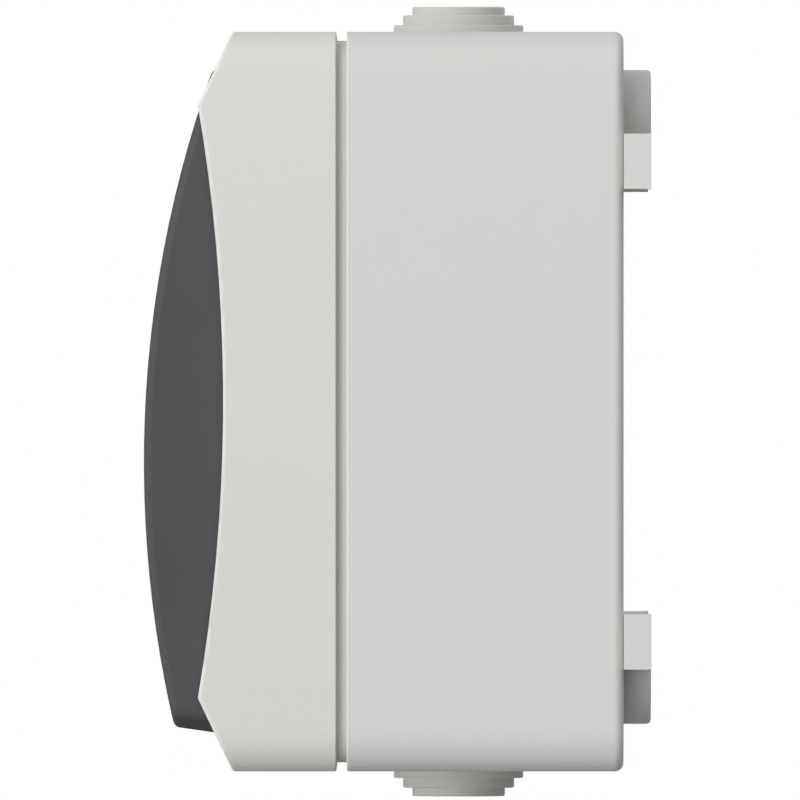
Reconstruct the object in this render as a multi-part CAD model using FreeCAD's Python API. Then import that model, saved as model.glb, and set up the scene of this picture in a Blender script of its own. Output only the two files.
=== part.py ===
import FreeCAD, Part
import math
import os

# Outdoor weatherproof rocker switch for surface mounting. All lengths are in millimetres.
# X is the width, Y the depth with the wall at Y = 0 and the front towards -Y, and Z is up.
# The origin lies in the wall plane, in the middle of the four wall screws.
# The rocker rests with its upper end pressed in, as a switch that is turned over once.

V = FreeCAD.Vector

# Enclosure
BODY_WIDTH = 66.0
BODY_HEIGHT = 84.0
BODY_CORNER = 4.4
WALL = 2.2
BASE_DEPTH = 31.43
BACK_ROUND = 1.0
SEAM_WIDTH = 1.17
SEAM_INSET = 1.03
SEAM_ROUND = 0.2

# Wall feet, their screw holes and the thin ring of the rear cable knock-out
FOOT_HEIGHT = 3.15
FOOT_RADIUS = 6.0
FOOT_STRETCH_TOP = 1.07
FOOT_ROUND = 0.5
FOOT_WEB_HEIGHT = 6.25
FOOT_WEB_DROP = 0.27
WALL_SCREW_SPAN_X = 42.0
WALL_SCREW_SPAN_Z = 61.34
WALL_HOLE_RADIUS = 2.25
WALL_BOSS_RADIUS = 4.5
WALL_BOSS_HEIGHT = 2.0
KNOCKOUT_RADIUS = 10.0
KNOCKOUT_GROOVE = 0.8
KNOCKOUT_DEPTH = 0.7

# Front cover
COVER_SIDE_DEPTH = 11.75
COVER_NOSE = 3.97
PEAK_DROP = 8.36
CHEEK_DIP = 2.87
CHEEK_WIDTH = 5.5
CHEEK_SKIN = 1.6
CHEEK_CORE_SKIN = 2.3
COVER_EDGE_ROUND = 0.4
POCKET_RIM = 3.0
POCKET_CORNER = 2.0
POCKET_DEPTH = 8.8
FLOOR_THICKNESS = 2.0
STEM_OPENING_GAP = 1.5

# Gasket between base and cover
GASKET_OVERLAP = 0.8
GASKET_TONGUE = 2.2

# Rocker and its pivot
ROCKER_TILT = 3.344
ROCKER_CROWN = 12.57
ROCKER_FRONT_RADIUS = 131.73
ROCKER_SKIRT = 2.0
ROCKER_WALL = 2.2
ROCKER_DRAFT = 4.85
ROCKER_CORNER = 1.5
ROCKER_EDGE_ROUND = 0.85
ROCKER_SIDE_FALL = 0.25
END_BOW_RADIUS = 260.0
ROCKER_SIDE_GAP = 0.5
ROCKER_END_GAP = 0.56
ROCKER_FLOOR_GAP = 0.96
ROCKER_RIB = 1.2
ROCKER_RIB_INSET = 2.0
ROCKER_CROSS_RIB_Z = 19.0
PIN_RADIUS = 1.5
PIN_REACH = 1.4
SOCKET_RIM = 3.5

# Actuator under the rocker
CARRIER_WIDTH = 22.0
CARRIER_HEIGHT = 14.0
CARRIER_THICKNESS = 1.5
CARRIER_SETBACK = 2.5
CARRIER_WEB = 1.2
CARRIER_WEB_HEIGHT = 1.5
CLIP_WIDTH = 8.0
CLIP_THICKNESS = 1.2
CLIP_NOSE = 0.6
CLIP_HOOK = 0.8
STEM_RADIUS = 3.5
STEM_BACKSTOP = 2.0
STEM_CHAMFER = 0.5

# Soft boot round the stem and the ring that holds it
BOOT_FLANGE_WIDTH = 1.7
BOOT_FLANGE = 1.0
BOOT_WALL = 0.7
BOOT_HEIGHT = 3.6
BOOT_FOLD = 2.6
RING_WIDTH = 1.55
RING_THICKNESS = 1.2
RING_CHAMFER = 0.4

# Plunger and spring in the stem
PLUNGER_RADIUS = 2.0
PLUNGER_NOSE_RADIUS = 1.3
PLUNGER_BODY = 4.0
PLUNGER_SHOULDER = 0.5
NOSE_REACH = 2.7
SPIGOT_LENGTH = 2.0
SPRING_WIRE = 0.3
SPRING_PLAY = 0.25
SPRING_TURNS = 6

# Switch mechanism
MECH_SETBACK = 2.58
MECH_WIDTH = 36.0
MECH_POST_GAP = 2.4
MECH_CORNER = 1.5
MECH_BLOCK_DEPTH = 17.0
MECH_CORE_MARGIN = 1.2
MECH_COVER_THICKNESS = 1.5
COMMON_FLOOR = 5.0
LUG_THICKNESS = 3.0
LUG_INSET_X = 4.0
LUG_INSET_Z = 5.0
LUG_CLEARANCE = 1.4
LUG_LEG_GAP = 0.7
PILLAR_RADIUS = 3.0
PILLAR_PIN_RADIUS = 1.4
INNER_CORNER = 1.0
LEG_WIDTH = 4.0
LEG_THICKNESS = 1.2
LEG_LENGTH = 5.0
LEG_NOSE = 0.5
LEG_HOOK = 1.2
BARRIER_THICKNESS = 1.2

# Contact seesaw and contact rivets
SEESAW_TILT = 8.0
SEESAW_THICKNESS = 0.8
SEESAW_WIDTH = 5.0
SEESAW_CORNER = 1.2
SEESAW_TIP = 1.4
KNIFE_RADIUS = 0.5
NOSE_CLEARANCE = 0.12
CONTACT_RADIUS = 1.5
CONTACT_HEIGHT = 0.7
CONTACT_DOME = 4.0
CONTACT_SHANK = 0.75
CONTACT_CLEARANCE = 0.1
FIXED_HEAD_RADIUS = 1.7
FIXED_HEAD = 0.6
FIXED_CHAMFER = 0.2

# Terminals
PLATE_THICKNESS = 1.0
PLATE_WIDTH = 6.8
PLATE_CORNER = 0.8
TONGUE_WIDTH = 5.2
TONGUE_LENGTH = 4.5
TERMINAL_INSET_Z = 5.0
TERMINAL_INSET_X = 5.0
CLAMP_THICKNESS = 1.0
CLAMP_CORNER = 0.6
CLAMP_CHAMFER = 0.25
TERMINAL_SCREW_RADIUS = 1.75
TERMINAL_SCREW_LENGTH = 5.0
TERMINAL_HEAD_RADIUS = 2.9
TERMINAL_HEAD = 1.8

# Screws and their washers
COVER_SCREW_X = 12.0
COVER_SCREW_RADIUS = 1.45
COVER_SCREW_LENGTH = 18.0
COVER_HEAD_RADIUS = 2.8
COVER_HEAD = 1.8
COVER_HEAD_GAP = 2.44
WASHER_RADIUS = 3.3
WASHER_THICKNESS = 0.8
POST_RADIUS = 3.6
POST_GAP = 0.2
POST_STEP = 0.3
MECH_SCREW_RADIUS = 1.4
MECH_SCREW_LENGTH = 9.0
MECH_HEAD_RADIUS = 2.6
MECH_HEAD = 1.6
SLOT_WIDTH = 0.8
SLOT_DEPTH = 0.9
SLOT_SHARE = 0.62
HEAD_ROUND_SHARE = 0.45
TIP_CHAMFER_SHARE = 0.3

# Cable glands
GLAND_FROM_RIM = 12.75
GLAND_NECK_RADIUS = 6.15
GLAND_BORE_RADIUS = 4.3
GLAND_STEP_RADII = (7.40, 6.35, 5.29)
GLAND_STEP_HEIGHTS = (1.03, 1.12, 0.96)
GLAND_INNER_FLANGE = 1.2
GLAND_INNER_LIP = 1.05
GLAND_INNER_CHAMFER = 0.6
GLAND_MEMBRANE = 0.6
GLAND_ROUND = 0.12

# Clearances between pieces that fit together: a close fit, a loose one, and room for tilting
FIT = 0.05
LOOSE = 0.3
SKEW = 0.4

# A length below which edges count as lying in a plane
HAIR = 1e-4

# Levels in depth, from the wall to the front
BACK_Y = -FOOT_HEIGHT
INNER_Y = BACK_Y - WALL
RIM_Y = BACK_Y - BASE_DEPTH
COVER_BACK_Y = RIM_Y - SEAM_WIDTH
COVER_CORNER_Y = COVER_BACK_Y - COVER_SIDE_DEPTH
PEAK_Y = COVER_CORNER_Y - COVER_NOSE
APEX_Y = PEAK_Y + CHEEK_DIP
FLOOR_FRONT_Y = APEX_Y + POCKET_DEPTH
FLOOR_BACK_Y = FLOOR_FRONT_Y + FLOOR_THICKNESS
MECH_COVER_Y = RIM_Y + MECH_SETBACK
MECH_FRONT_Y = MECH_COVER_Y + MECH_COVER_THICKNESS
MECH_BACK_Y = MECH_FRONT_Y + MECH_BLOCK_DEPTH
LUG_Y = MECH_BACK_Y - LUG_THICKNESS
COMMON_PLATE_Y = MECH_BACK_Y - COMMON_FLOOR
KNIFE_Y = COMMON_PLATE_Y - PLATE_THICKNESS - TONGUE_LENGTH
GLAND_Y = RIM_Y + GLAND_FROM_RIM
POST_TOP_Y = RIM_Y - POST_STEP

# Outline halves
HALF_W = BODY_WIDTH / 2
HALF_H = BODY_HEIGHT / 2
PEAK_Z = HALF_H - PEAK_DROP
POCKET_HALF_W = HALF_W - CHEEK_WIDTH
POCKET_HALF_H = HALF_H - POCKET_RIM

# Rocker sizes that follow from the pocket and the tilt
ROCKER_HALF_W = POCKET_HALF_W - ROCKER_SIDE_GAP
ROCKER_HALF_H = POCKET_HALF_H - ROCKER_END_GAP
SWING = ROCKER_HALF_H * math.sin(math.radians(ROCKER_TILT))
PIVOT_Y = FLOOR_FRONT_Y - ROCKER_SKIRT - SWING - ROCKER_FLOOR_GAP
CROWN_Y = PIVOT_Y - ROCKER_CROWN
SKIRT_Y = PIVOT_Y + ROCKER_SKIRT
CARRIER_Y = PIVOT_Y - CARRIER_SETBACK
CARRIER_REAR_Y = CARRIER_Y + CARRIER_THICKNESS
RIB_X = CARRIER_WIDTH / 2 - ROCKER_RIB_INSET

# Boot sizes that follow from the stem and its sway: lip, fold and flange radii
STEM_OPENING_RADIUS = STEM_RADIUS + STEM_OPENING_GAP
BOOT_SWAY = (FLOOR_FRONT_Y - BOOT_FLANGE - PIVOT_Y) * math.sin(math.radians(ROCKER_TILT))
BOOT_LIP_RADIUS = STEM_RADIUS + BOOT_SWAY + FIT
BOOT_FOLD_RADIUS = BOOT_LIP_RADIUS + BOOT_FOLD
BOOT_FLANGE_RADIUS = BOOT_FOLD_RADIUS + BOOT_WALL + BOOT_FLANGE_WIDTH

# The cover screws stand inside the rocker's ends, and the mechanism fills the height between them
COVER_SCREW_Z = ROCKER_HALF_H - ROCKER_WALL - COVER_HEAD_GAP - COVER_HEAD_RADIUS
MECH_HEIGHT = 2 * (COVER_SCREW_Z - POST_RADIUS - MECH_POST_GAP)

# Mechanism places that follow from its outline, down to the length of the seesaw's arms
LUG_X = MECH_WIDTH / 2 - LUG_INSET_X
LUG_Z = MECH_HEIGHT / 2 - LUG_INSET_Z
MECH_CORE_WIDTH = 2 * (LUG_X - MECH_HEAD_RADIUS - LUG_CLEARANCE)
MECH_CORE_HEIGHT = 2 * (LUG_Z - MECH_HEAD_RADIUS - LUG_LEG_GAP - LEG_THICKNESS)
BARRIER_Z = MECH_CORE_HEIGHT / 2 - MECH_CORE_MARGIN - BARRIER_THICKNESS
SEESAW_ARM = BARRIER_Z - LOOSE - SKEW
CONTACT_ARM = SEESAW_ARM - SEESAW_TIP
CHANNEL_HALF = PLATE_WIDTH / 2 + LOOSE
CLAMP_SIDE = PLATE_WIDTH - 2 * LOOSE
TERMINAL_X = MECH_WIDTH / 2 - TERMINAL_INSET_X
TERMINAL_Z = MECH_HEIGHT / 2 - TERMINAL_INSET_Z

# Seesaw: its strip stands off the knife edge by the groove and its own thickness
GROOVE_RADIUS = KNIFE_RADIUS + FIT
STRIP_FRONT_Y = KNIFE_Y - GROOVE_RADIUS - SEESAW_THICKNESS
STRIP_BACK_Y = KNIFE_Y - GROOVE_RADIUS
NOSE_Y = STRIP_FRONT_Y - NOSE_CLEARANCE
STEM_END_Y = NOSE_Y - NOSE_REACH
STEM_BORE = PLUNGER_RADIUS + FIT
SPRING_RADIUS = PLUNGER_RADIUS - SPRING_PLAY - SPRING_WIRE
SPIGOT_RADIUS = SPRING_RADIUS - SPRING_WIRE - SPRING_PLAY
STEM_BOTTOM_Y = CARRIER_Y + STEM_BACKSTOP
PLUNGER_FRONT_Y = STEM_END_Y - PLUNGER_SHOULDER
PLUNGER_REAR_Y = PLUNGER_FRONT_Y - PLUNGER_BODY

# Place of the fixed contacts, from the domed contact of the tipped seesaw
DOME_CENTRE = CONTACT_HEIGHT - GROOVE_RADIUS - CONTACT_DOME
SEESAW_RAD = math.radians(SEESAW_TILT)
DOME_REACH = DOME_CENTRE * math.cos(SEESAW_RAD) + CONTACT_ARM * math.sin(SEESAW_RAD) + CONTACT_DOME
FIXED_FACE_Y = KNIFE_Y + DOME_REACH + CONTACT_CLEARANCE
FIXED_Z = CONTACT_ARM * math.cos(SEESAW_RAD)
TRAVELLER_Y = FIXED_FACE_Y + FIXED_HEAD + PLATE_THICKNESS


def block(x0, x1, y0, y1, z0, z1):
    """A box between two corners given in any order."""
    low = V(min(x0, x1), min(y0, y1), min(z0, z1))
    return Part.makeBox(abs(x1 - x0), abs(y1 - y0), abs(z1 - z0), low)


def rod(radius, x, z, y0, y1):
    """A cylinder along Y."""
    return Part.makeCylinder(radius, abs(y1 - y0), V(x, min(y0, y1), z), V(0, 1, 0))


def parallel_edges(shape, direction):
    """The straight edges that run along a direction."""
    found = []
    for edge in shape.Edges:
        run = edge.Vertexes[-1].Point - edge.Vertexes[0].Point
        if run.Length > HAIR and run.cross(direction).Length < HAIR * run.Length:
            found.append(edge)
    return found


def edges_in_plane(shape, y):
    """The edges that lie in a plane across the depth."""
    found = []
    for edge in shape.Edges:
        box = edge.BoundBox
        if abs(box.YMin - y) < HAIR and abs(box.YMax - y) < HAIR:
            found.append(edge)
    return found


def slab(width, height, corner, y0, y1, x=0.0, z=0.0):
    """A rounded rectangle drawn out along Y."""
    body = block(x - width / 2, x + width / 2, y0, y1, z - height / 2, z + height / 2)
    return body.makeFillet(corner, parallel_edges(body, V(0, 1, 0)))


def frame(outer, inner, y0, y1):
    """A flat frame between two rounded rectangles, each given as width, height, corner."""
    return slab(*outer, y0, y1).cut(slab(*inner, y0, y1))


def side_solid(points, half_width, bulge=None):
    """A side outline in (y, z) drawn out across the width; bulge is one arc's middle point."""
    edges = []
    count = len(points)
    for index in range(count):
        start = V(-half_width, *points[index])
        end = V(-half_width, *points[(index + 1) % count])
        if bulge and bulge[0] == index:
            middle = V(-half_width, *bulge[1])
            edges.append(Part.Arc(start, middle, end).toShape())
        else:
            edges.append(Part.makeLine(start, end))
    return Part.Face(Part.Wire(edges)).extrude(V(2 * half_width, 0, 0))


def turned(points, x, z):
    """A closed (radius, y) outline turned about an axis along Y."""
    corners = [V(x + r, y, z) for r, y in points]
    outline = Part.makePolygon(corners + [corners[0]])
    return Part.Face(outline).revolve(V(x, 0, z), V(0, 1, 0), 360)


def about_pivot(shape):
    """Neutral rocker parts turned to the rest position, upper end pressed in."""
    return shape.rotated(V(0, PIVOT_Y, 0), V(1, 0, 0), -ROCKER_TILT)


def about_knife(shape):
    """Level seesaw parts tipped to the rest position, lower contact closed."""
    return shape.rotated(V(0, KNIFE_Y, 0), V(1, 0, 0), SEESAW_TILT)


def wall_foot(side, up):
    """A foot round a wall screw, with a web that runs out flush to the side wall."""
    x = side * WALL_SCREW_SPAN_X / 2
    z = up * WALL_SCREW_SPAN_Z / 2
    web_z = z - up * FOOT_WEB_DROP
    web_end = web_z - up * FOOT_WEB_HEIGHT
    ends = (web_end + up * FOOT_RADIUS, z + (FOOT_STRETCH_TOP if up > 0 else 0))
    boss = block(x - FOOT_RADIUS, x + FOOT_RADIUS, BACK_Y, 0, min(ends), max(ends))
    for end in ends:
        boss = boss.fuse(rod(FOOT_RADIUS, x, end, BACK_Y, 0))
    boss = boss.removeSplitter()
    boss = boss.makeFillet(FOOT_ROUND, edges_in_plane(boss, 0))
    web = block(x, side * HALF_W, BACK_Y, 0, web_end, web_z)
    return boss.fuse(web)


def base_shell():
    """The open tray of the base with its rounded rear edge."""
    outer = slab(BODY_WIDTH, BODY_HEIGHT, BODY_CORNER, BACK_Y, RIM_Y)
    outer = outer.makeFillet(BACK_ROUND, edges_in_plane(outer, BACK_Y))
    outer = outer.makeFillet(SEAM_ROUND, edges_in_plane(outer, RIM_Y))
    return outer.cut(base_cavity(INNER_Y, RIM_Y))


def base_cavity(y0, y1):
    """The inner space of base and cover, inside the walls."""
    return slab(BODY_WIDTH - 2 * WALL, BODY_HEIGHT - 2 * WALL, BODY_CORNER - WALL, y0, y1)


def knockout_ring():
    """The groove that thins the rear wall round the knock-out."""
    outer = rod(KNOCKOUT_RADIUS, 0, 0, BACK_Y, BACK_Y - KNOCKOUT_DEPTH)
    inner = rod(KNOCKOUT_RADIUS - KNOCKOUT_GROOVE, 0, 0, BACK_Y, BACK_Y - KNOCKOUT_DEPTH)
    return outer.cut(inner)


def cover_screw_places():
    """The two cover screws sit on a diagonal: name, x and z."""
    return (("top", -COVER_SCREW_X, COVER_SCREW_Z), ("bottom", COVER_SCREW_X, -COVER_SCREW_Z))


def mech_screw_places():
    """The two mechanism screws sit on the same diagonal: name, x and z."""
    return (("upper", -LUG_X, LUG_Z), ("lower", LUG_X, -LUG_Z))


def base_box():
    """The base with feet, holes, posts for the cover screws and mechanism pillars."""
    solids = []
    holes = [knockout_ring()]
    for side in (-1, 1):
        for up in (-1, 1):
            x = side * WALL_SCREW_SPAN_X / 2
            z = up * WALL_SCREW_SPAN_Z / 2
            solids.append(wall_foot(side, up))
            solids.append(rod(WALL_BOSS_RADIUS, x, z, INNER_Y, INNER_Y - WALL_BOSS_HEIGHT))
            holes.append(rod(WALL_HOLE_RADIUS, x, z, 0, INNER_Y - WALL_BOSS_HEIGHT))
    for _, x, z in cover_screw_places():
        solids.append(rod(POST_RADIUS, x, z, INNER_Y, POST_TOP_Y))
        tip = FLOOR_FRONT_Y - WASHER_THICKNESS + COVER_SCREW_LENGTH + LOOSE
        holes.append(rod(COVER_SCREW_RADIUS + FIT, x, z, POST_TOP_Y, tip))
    for _, x, z in mech_screw_places():
        solids.append(rod(PILLAR_RADIUS, x, z, INNER_Y, MECH_BACK_Y))
        tip = LUG_Y + MECH_SCREW_LENGTH + LOOSE
        holes.append(rod(MECH_SCREW_RADIUS + FIT, x, z, MECH_BACK_Y, tip))
        solids.append(rod(PILLAR_RADIUS, -x, z, INNER_Y, MECH_BACK_Y))
        solids.append(rod(PILLAR_PIN_RADIUS, -x, z, MECH_BACK_Y, LUG_Y + LOOSE))
    gland_hole = Part.makeCylinder(GLAND_NECK_RADIUS + FIT, 2 * BODY_HEIGHT,
                                   V(0, GLAND_Y, -BODY_HEIGHT), V(0, 0, 1))
    return base_shell().multiFuse(solids).cut(holes + [gland_hole]).removeSplitter()


def cover_gasket():
    """A strip on the base's rim that shows in the seam, with a tongue inside the wall."""
    lip_out = SEAM_INSET
    lip_in = WALL + GASKET_OVERLAP
    tongue_out = WALL + FIT
    strip = frame(inset_outline(lip_out), inset_outline(lip_in), RIM_Y, COVER_BACK_Y)
    tongue = frame(inset_outline(tongue_out), inset_outline(lip_in), RIM_Y + GASKET_TONGUE, RIM_Y)
    return strip.fuse(tongue).removeSplitter()


def inset_outline(inset):
    """Width, height and corner of the body's outline, drawn in all round."""
    return BODY_WIDTH - 2 * inset, BODY_HEIGHT - 2 * inset, BODY_CORNER - inset


def cover_outside():
    """The cover's outer form: sloped ends, two ridges and the hollow arc between them."""
    points = [(COVER_BACK_Y, -HALF_H), (COVER_CORNER_Y, -HALF_H), (PEAK_Y, -PEAK_Z),
              (PEAK_Y, PEAK_Z), (COVER_CORNER_Y, HALF_H), (COVER_BACK_Y, HALF_H)]
    body = side_solid(points, HALF_W, (2, (APEX_Y, 0)))
    body = body.common(slab(BODY_WIDTH, BODY_HEIGHT, BODY_CORNER, COVER_BACK_Y, PEAK_Y))
    front = []
    for edge in body.Edges:
        box = edge.BoundBox
        on_rear = box.YMax > COVER_BACK_Y - HAIR
        on_ridge = box.YMax < PEAK_Y + HAIR
        if not on_rear and not on_ridge:
            front.append(edge)
    body = body.makeFillet(COVER_EDGE_ROUND, front)
    return body.makeFillet(SEAM_ROUND, edges_in_plane(body, COVER_BACK_Y))


def cheek_cores():
    """Slots from behind that keep the cheeks' walls even, left out at the pivot."""
    cores = []
    for side in (-1, 1):
        inner = side * (POCKET_HALF_W + CHEEK_SKIN)
        outer = side * (HALF_W - WALL)
        for up in (-1, 1):
            z0 = up * (PIN_RADIUS + SOCKET_RIM)
            z1 = up * (HALF_H - BODY_CORNER - POCKET_RIM)
            cores.append(block(inner, outer, COVER_BACK_Y, APEX_Y + CHEEK_CORE_SKIN, z0, z1))
    return cores


def front_cover():
    """The cover with the rocker's pocket, its floor, the pivot sockets and screw bosses."""
    body = cover_outside()
    pocket = bowed_block(POCKET_HALF_W, POCKET_HALF_H, POCKET_HALF_H, FLOOR_FRONT_Y, PEAK_Y)
    pocket = pocket.makeFillet(POCKET_CORNER, corner_edges(pocket))
    cavity = base_cavity(COVER_BACK_Y, FLOOR_BACK_Y)
    body = body.cut([pocket, cavity] + cheek_cores())
    bosses = []
    holes = [rod(STEM_OPENING_RADIUS, 0, 0, FLOOR_BACK_Y, FLOOR_FRONT_Y)]
    for _, x, z in cover_screw_places():
        bosses.append(rod(POST_RADIUS, x, z, FLOOR_BACK_Y, POST_TOP_Y - POST_GAP))
        holes.append(rod(COVER_SCREW_RADIUS + LOOSE, x, z, POST_TOP_Y, FLOOR_FRONT_Y))
    reach = ROCKER_HALF_W + ROCKER_SIDE_GAP + PIN_REACH + FIT
    holes.append(Part.makeCylinder(PIN_RADIUS + FIT, 2 * reach, V(-reach, PIVOT_Y, 0), V(1, 0, 0)))
    return body.multiFuse(bosses).cut(holes).removeSplitter()


def bowed_block(half_width, rear_height, front_height, rear_y, front_y):
    """A block whose two ends taper towards the front and bow outwards across the width."""
    points = [(rear_y, -rear_height), (front_y, -front_height), (front_y, front_height),
              (rear_y, rear_height)]
    body = side_solid(points, half_width)
    for up in (-1, 1):
        run = V(0, front_y - rear_y, up * (front_height - rear_height)).normalize()
        inwards = V(0, -run.z, run.y) * up
        start = V(0, rear_y, up * rear_height) + (inwards - run) * END_BOW_RADIUS
        body = body.common(Part.makeCylinder(END_BOW_RADIUS, 3 * END_BOW_RADIUS, start, run))
    return body


def corner_edges(body):
    """The four edges of a bowed block where its ends meet its sides."""
    corners = []
    for edge in body.Edges:
        if edge.BoundBox.YLength > 1 and edge.BoundBox.XLength < 1:
            corners.append(edge)
    return corners


def front_barrel(wall):
    """The rocker's front as a large barrel across the width, fuller in the middle."""
    axis_y = CROWN_Y + ROCKER_FRONT_RADIUS
    crown = V(0, CROWN_Y + wall, 0)
    left = V(-HALF_W, CROWN_Y + wall + ROCKER_SIDE_FALL, 0)
    right = V(HALF_W, CROWN_Y + wall + ROCKER_SIDE_FALL, 0)
    ends = [V(HALF_W, axis_y, 0), V(-HALF_W, axis_y, 0)]
    edges = [Part.Arc(left, crown, right).toShape(), Part.makeLine(right, ends[0]),
             Part.makeLine(ends[0], ends[1]), Part.makeLine(ends[1], left)]
    return Part.Face(Part.Wire(edges)).revolve(V(0, axis_y, 0), V(1, 0, 0), 360)


def rocker_block(wall, corner=0):
    """The rocker's solid form, drawn in all round by a wall, with round or sharp corners."""
    slope = math.tan(math.radians(ROCKER_DRAFT))
    half_h = ROCKER_HALF_H - wall / math.cos(math.radians(ROCKER_DRAFT))
    front_h = half_h - (ROCKER_CROWN + ROCKER_SKIRT) * slope
    body = bowed_block(ROCKER_HALF_W - wall, half_h, front_h, SKIRT_Y, CROWN_Y)
    if corner:
        body = body.makeFillet(corner, corner_edges(body))
    return body.common(front_barrel(wall))


def rocker_shell():
    """The hollow rocker with its rounded front edge."""
    outer = rocker_block(0, ROCKER_CORNER)
    front = []
    for edge in outer.Edges:
        box = edge.BoundBox
        if box.YMax < PIVOT_Y - ROCKER_SKIRT and box.YMin < COVER_CORNER_Y:
            front.append(edge)
    outer = outer.makeFillet(ROCKER_EDGE_ROUND, front)
    return outer.cut(rocker_block(ROCKER_WALL, INNER_CORNER))


def rocker_ribs():
    """Long and cross ribs that stiffen the front and carry the actuator."""
    half_w = ROCKER_HALF_W
    half_h = ROCKER_HALF_H
    half_rib = ROCKER_RIB / 2
    ribs = []
    for side in (-1, 1):
        x = side * RIB_X
        ribs.append(block(x - half_rib, x + half_rib, CROWN_Y, CARRIER_Y, -half_h, half_h))
        z = side * ROCKER_CROSS_RIB_Z
        ribs.append(block(-half_w, half_w, CROWN_Y, CARRIER_Y, z - half_rib, z + half_rib))
    return [rib.common(rocker_block(ROCKER_WALL / 2)) for rib in ribs]


def rocker_clips():
    """Two hooks that hold the actuator's carrier plate against the ribs."""
    clips = []
    half = CLIP_WIDTH / 2
    hook_y = CARRIER_REAR_Y + FIT
    hook_end = hook_y + CLIP_HOOK
    for up in (-1, 1):
        face = up * (CARRIER_HEIGHT / 2 + FIT)
        outer = face + up * CLIP_THICKNESS
        arm = block(-half, half, CROWN_Y, hook_end, face, outer)
        nose = block(-half, half, hook_y, hook_end, face, face - up * CLIP_NOSE)
        clips.append(arm.common(rocker_block(ROCKER_WALL / 2)))
        clips.append(nose)
    return clips


def rocker():
    """The rocker with ribs, clips and the two pivot pins."""
    pins = []
    inner = ROCKER_HALF_W - ROCKER_WALL
    length = ROCKER_WALL + ROCKER_SIDE_GAP + PIN_REACH
    for side in (-1, 1):
        start = V(side * inner, PIVOT_Y, 0)
        pins.append(Part.makeCylinder(PIN_RADIUS, length, start, V(side, 0, 0)))
    body = rocker_shell().multiFuse(rocker_ribs() + rocker_clips() + pins)
    return about_pivot(body)


def actuator():
    """Carrier plate with the hollow stem that guides the plunger."""
    plate = slab(CARRIER_WIDTH, CARRIER_HEIGHT, INNER_CORNER, CARRIER_Y, CARRIER_REAR_Y)
    stem = rod(STEM_RADIUS, 0, 0, CARRIER_Y, STEM_END_Y)
    stem = stem.makeChamfer(STEM_CHAMFER, edges_in_plane(stem, STEM_END_Y))
    webs = []
    for side in (-1, 1):
        foot = side * (CARRIER_HEIGHT / 2 - INNER_CORNER)
        points = [(CARRIER_REAR_Y, 0), (CARRIER_REAR_Y + CARRIER_WEB_HEIGHT, 0),
                  (CARRIER_REAR_Y, foot)]
        webs.append(side_solid(points, CARRIER_WEB / 2))
    bore = rod(STEM_BORE, 0, 0, STEM_BOTTOM_Y, STEM_END_Y)
    return about_pivot(plate.multiFuse([stem] + webs).cut(bore))


def rocker_seal():
    """Soft boot: a flange on the cover's floor and a fold that rises to a lip at the stem."""
    foot = FLOOR_FRONT_Y
    flange = foot - BOOT_FLANGE
    top = foot - BOOT_HEIGHT
    lip = BOOT_LIP_RADIUS
    fold = BOOT_FOLD_RADIUS
    wall = BOOT_WALL
    points = [(STEM_OPENING_RADIUS + FIT, foot), (BOOT_FLANGE_RADIUS, foot),
              (BOOT_FLANGE_RADIUS, flange), (fold + wall, flange), (fold + wall / 2, top + wall / 2),
              (fold - wall, top), (lip + wall, flange - wall), (lip + wall, top), (lip, top),
              (lip, flange), (lip + wall, foot), (fold - wall, top + wall), (fold, flange)]
    return turned(points, 0, 0)


def seal_ring():
    """Retaining ring on the boot's flange, with a skirt down to the floor."""
    seat = FLOOR_FRONT_Y - BOOT_FLANGE
    top = seat - RING_THICKNESS
    skirt = BOOT_FLANGE_RADIUS + FIT
    outer = skirt + RING_WIDTH
    bore = BOOT_FOLD_RADIUS + BOOT_WALL + 2 * FIT
    points = [(skirt, FLOOR_FRONT_Y), (outer, FLOOR_FRONT_Y), (outer, top + RING_CHAMFER),
              (outer - RING_CHAMFER, top), (bore, top), (bore, seat), (skirt, seat)]
    return turned(points, 0, 0)


def plunger():
    """Nose with a round tip, a guided body and a spigot for the spring."""
    ball_y = NOSE_Y - PLUNGER_NOSE_RADIUS
    spigot_y = PLUNGER_REAR_Y - SPIGOT_LENGTH
    points = [(0, ball_y), (PLUNGER_NOSE_RADIUS, ball_y), (PLUNGER_RADIUS, PLUNGER_FRONT_Y),
              (PLUNGER_RADIUS, PLUNGER_REAR_Y), (SPIGOT_RADIUS, PLUNGER_REAR_Y),
              (SPIGOT_RADIUS, spigot_y), (0, spigot_y)]
    ball = Part.makeSphere(PLUNGER_NOSE_RADIUS, V(0, ball_y, 0))
    return about_pivot(turned(points, 0, 0).fuse(ball).removeSplitter())


def plunger_spring():
    """Coil spring between the plunger's shoulder and the bottom of the stem."""
    start_y = STEM_BOTTOM_Y + SPRING_WIRE + FIT
    height = PLUNGER_REAR_Y - SPRING_WIRE - FIT - start_y
    path = Part.makeHelix(height / SPRING_TURNS, height, SPRING_RADIUS)
    ring = Part.makeCircle(SPRING_WIRE, V(SPRING_RADIUS, 0, 0), V(0, 1, 0))
    coil = Part.Wire(path).makePipeShell([Part.Wire(ring)], True, True)
    coil = coil.rotated(V(0, 0, 0), V(1, 0, 0), -90)
    coil.translate(V(0, start_y, 0))
    return about_pivot(coil)


def stem_slot(y0, y1):
    """The long round slot that the swaying stem needs."""
    sway = (STEM_END_Y - PIVOT_Y) * math.sin(math.radians(ROCKER_TILT))
    half_x = STEM_RADIUS + SKEW
    half_z = half_x + sway
    return slab(2 * half_x, 2 * half_z, half_x - HAIR, y0, y1)


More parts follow.
